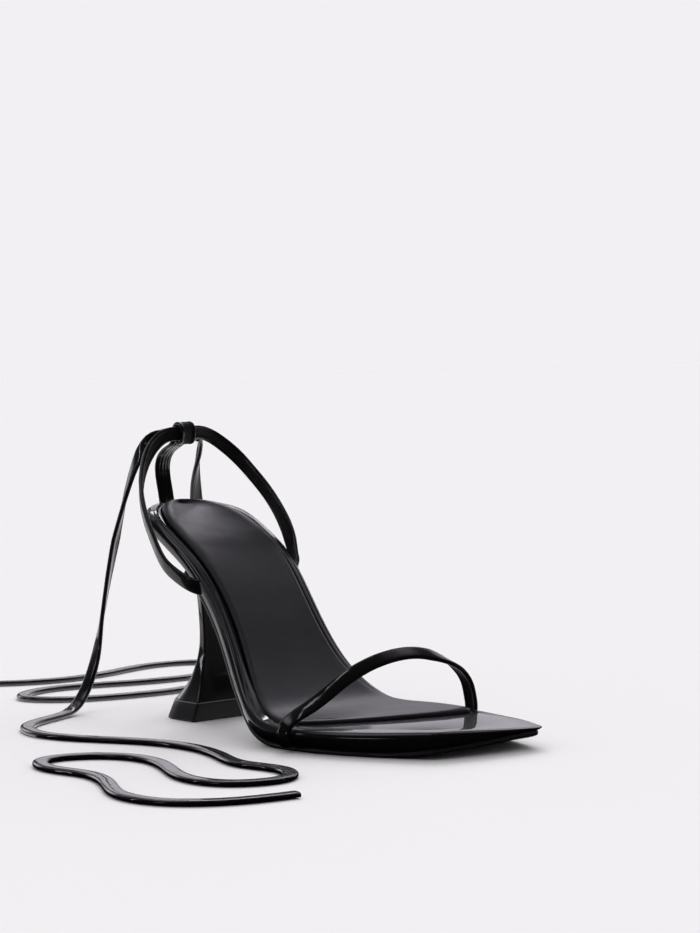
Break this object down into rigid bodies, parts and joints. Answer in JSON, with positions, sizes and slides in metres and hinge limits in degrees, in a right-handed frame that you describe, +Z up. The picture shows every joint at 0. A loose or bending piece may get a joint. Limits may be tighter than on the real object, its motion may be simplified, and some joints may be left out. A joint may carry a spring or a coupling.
{
  "type": "heeled sandal",
  "caption": "Black patent lace-up sandal, right foot: square toe, thin toe strap, crossed ankle straps with loose ties, flared high heel.",
  "frame": {"origin": "on the floor, below the middle of the shoe's bounding box without its two ties", "axes": "toe towards -Y, heel towards +Y, medial side +X, lateral side -X, +Z up from the floor"},
  "size_m": [0.2813, 0.3908, 0.1364],
  "materials": {
    "patent_board": "glossy patent",
    "matt_sock": "matt",
    "outsole": "satin",
    "heel_cover": "glossy patent covering",
    "top_lift": "satin",
    "patent_straps": "glossy patent"
  },
  "bodies": {
    "root": {"insole_board": "patent_board", "footbed": "matt_sock", "outsole": "outsole", "heel": "heel_cover", "top_lift": "top_lift", "toe_strap": "patent_straps", "heel_tab": "patent_straps", "ankle_straps": "patent_straps", "tie_near": "patent_straps", "tie_far": "patent_straps"}
  },
  "joints": []
}
